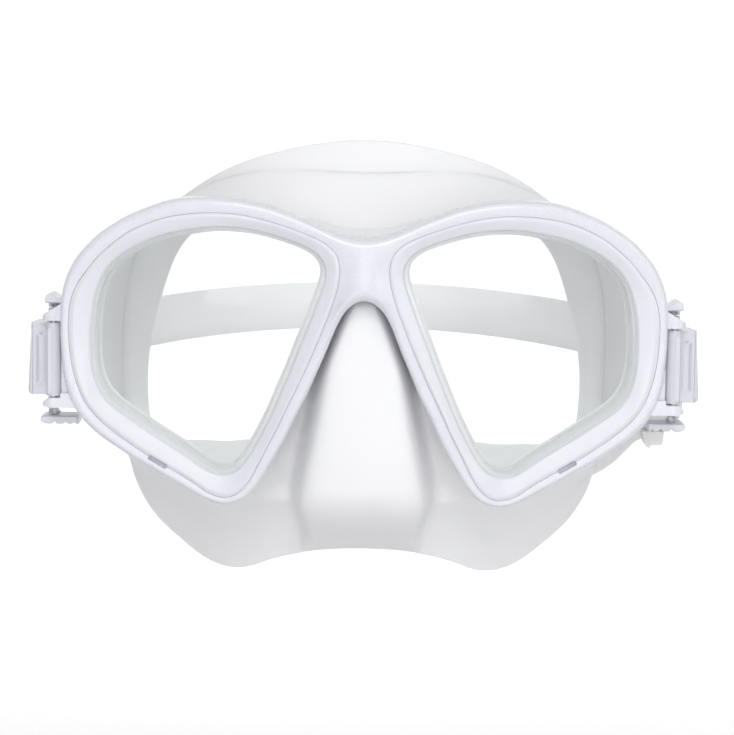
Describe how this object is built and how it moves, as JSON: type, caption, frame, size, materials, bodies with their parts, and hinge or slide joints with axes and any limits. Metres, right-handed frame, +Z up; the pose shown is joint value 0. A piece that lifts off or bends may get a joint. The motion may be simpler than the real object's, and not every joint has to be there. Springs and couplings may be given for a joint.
{
  "type": "diving mask",
  "caption": "Low-volume twin-lens diving mask: swept plastic frame, glass lenses in retaining rings, silicone skirt with nose pocket, band strap and swivel quick-release buckles.",
  "frame": {"origin": "middle of the face seal on the mask's centre plane, at the height of the buckle pivots, 40 mm behind the front of the bridge", "axes": "+X towards the wearer's left (the viewer's right), +Y from the lenses towards the back of the head, +Z up"},
  "size_m": [0.1792, 0.1725, 0.1187],
  "materials": {
    "frame_plastic": "glossy cool white moulded plastic",
    "ring_plastic": "glossy cool white moulded plastic",
    "buckle_plastic": "semi-gloss cool white moulded plastic",
    "silicone": "matte white liquid silicone rubber",
    "strap_silicone": "matte white silicone rubber",
    "lens_glass": "clear tempered glass with a faint green edge",
    "steel": "stainless steel"
  },
  "bodies": {
    "root": {"main_frame": "frame_plastic", "skirt": "silicone", "lens_ring_left": "ring_plastic", "lens_ring_right": "ring_plastic", "lens_left": "lens_glass", "lens_right": "lens_glass", "head_strap": "strap_silicone", "strap_keeper_left": "strap_silicone", "strap_keeper_right": "strap_silicone", "pivot_pin_left": "steel", "pivot_pin_right": "steel"},
    "buckle_left": {"buckle_body_left": "buckle_plastic", "buckle_cover_left": "buckle_plastic", "roller_axle_left": "steel", "strap_end_left": "strap_silicone", "tab_spring_upper_left": "steel", "tab_spring_lower_left": "steel"},
    "roller_left": {"strap_roller_left": "buckle_plastic"},
    "pawl_left": {"ratchet_pawl_left": "buckle_plastic"},
    "tab_upper_left": {"release_tab_upper_left": "buckle_plastic"},
    "tab_lower_left": {"release_tab_lower_left": "buckle_plastic"},
    "buckle_right": {"buckle_body_right": "buckle_plastic", "buckle_cover_right": "buckle_plastic", "roller_axle_right": "steel", "strap_end_right": "strap_silicone", "tab_spring_upper_right": "steel", "tab_spring_lower_right": "steel"},
    "roller_right": {"strap_roller_right": "buckle_plastic"},
    "pawl_right": {"ratchet_pawl_right": "buckle_plastic"},
    "tab_upper_right": {"release_tab_upper_right": "buckle_plastic"},
    "tab_lower_right": {"release_tab_lower_right": "buckle_plastic", "tab_pad_right": "strap_silicone"}
  },
  "joints": [
    {"name": "buckle_left_swivel", "type": "hinge", "parent": "root", "child": "buckle_left", "pos_m": [-0.0824, -0.027, 0], "axis": [0, 0, 1], "range_deg": [-8, 40], "deforming": ["strap_end_left"]},
    {"name": "strap_roller_left_spin", "type": "hinge", "parent": "buckle_left", "child": "roller_left", "pos_m": [-0.08525, -0.016, 0], "axis": [0, 0, 1], "continuous": true},
    {"name": "release_tab_upper_left_press", "type": "slide", "parent": "buckle_left", "child": "tab_upper_left", "axis": [0, 0, -1], "range_m": [0, 0.0011], "stiffness_N_per_m": 400, "springref_m": -0.004, "deforming": ["tab_spring_upper_left"]},
    {"name": "release_tab_lower_left_press", "type": "slide", "parent": "buckle_left", "child": "tab_lower_left", "axis": [0, 0, 1], "range_m": [0, 0.0011], "deforming": ["tab_spring_lower_left"]},
    {"name": "ratchet_pawl_left_release", "type": "hinge", "parent": "buckle_left", "child": "pawl_left", "pos_m": [-0.08525, -0.0098, 0], "axis": [0, 0, -1], "range_deg": [0, 16]},
    {"name": "buckle_right_swivel", "type": "hinge", "parent": "root", "child": "buckle_right", "pos_m": [0.0824, -0.027, 0], "axis": [0, 0, -1], "range_deg": [-8, 40], "deforming": ["strap_end_right"]},
    {"name": "strap_roller_right_spin", "type": "hinge", "parent": "buckle_right", "child": "roller_right", "pos_m": [0.08525, -0.016, 0], "axis": [0, 0, 1], "continuous": true},
    {"name": "release_tab_upper_right_press", "type": "slide", "parent": "buckle_right", "child": "tab_upper_right", "axis": [0, 0, -1], "range_m": [0, 0.0011], "stiffness_N_per_m": 400, "springref_m": -0.004, "deforming": ["tab_spring_upper_right"]},
    {"name": "release_tab_lower_right_press", "type": "slide", "parent": "buckle_right", "child": "tab_lower_right", "axis": [0, 0, 1], "range_m": [0, 0.0011], "deforming": ["tab_spring_lower_right"]},
    {"name": "ratchet_pawl_right_release", "type": "hinge", "parent": "buckle_right", "child": "pawl_right", "pos_m": [0.08525, -0.0098, 0], "axis": [0, 0, 1], "range_deg": [0, 16]}
  ],
  "couplings": [
    {"joint": "release_tab_lower_left_press", "follows": "release_tab_upper_left_press", "ratio": 1},
    {"joint": "ratchet_pawl_left_release", "follows": "release_tab_upper_left_press", "rad_per_m": 238},
    {"joint": "release_tab_lower_right_press", "follows": "release_tab_upper_right_press", "ratio": 1},
    {"joint": "ratchet_pawl_right_release", "follows": "release_tab_upper_right_press", "rad_per_m": 238}
  ]
}
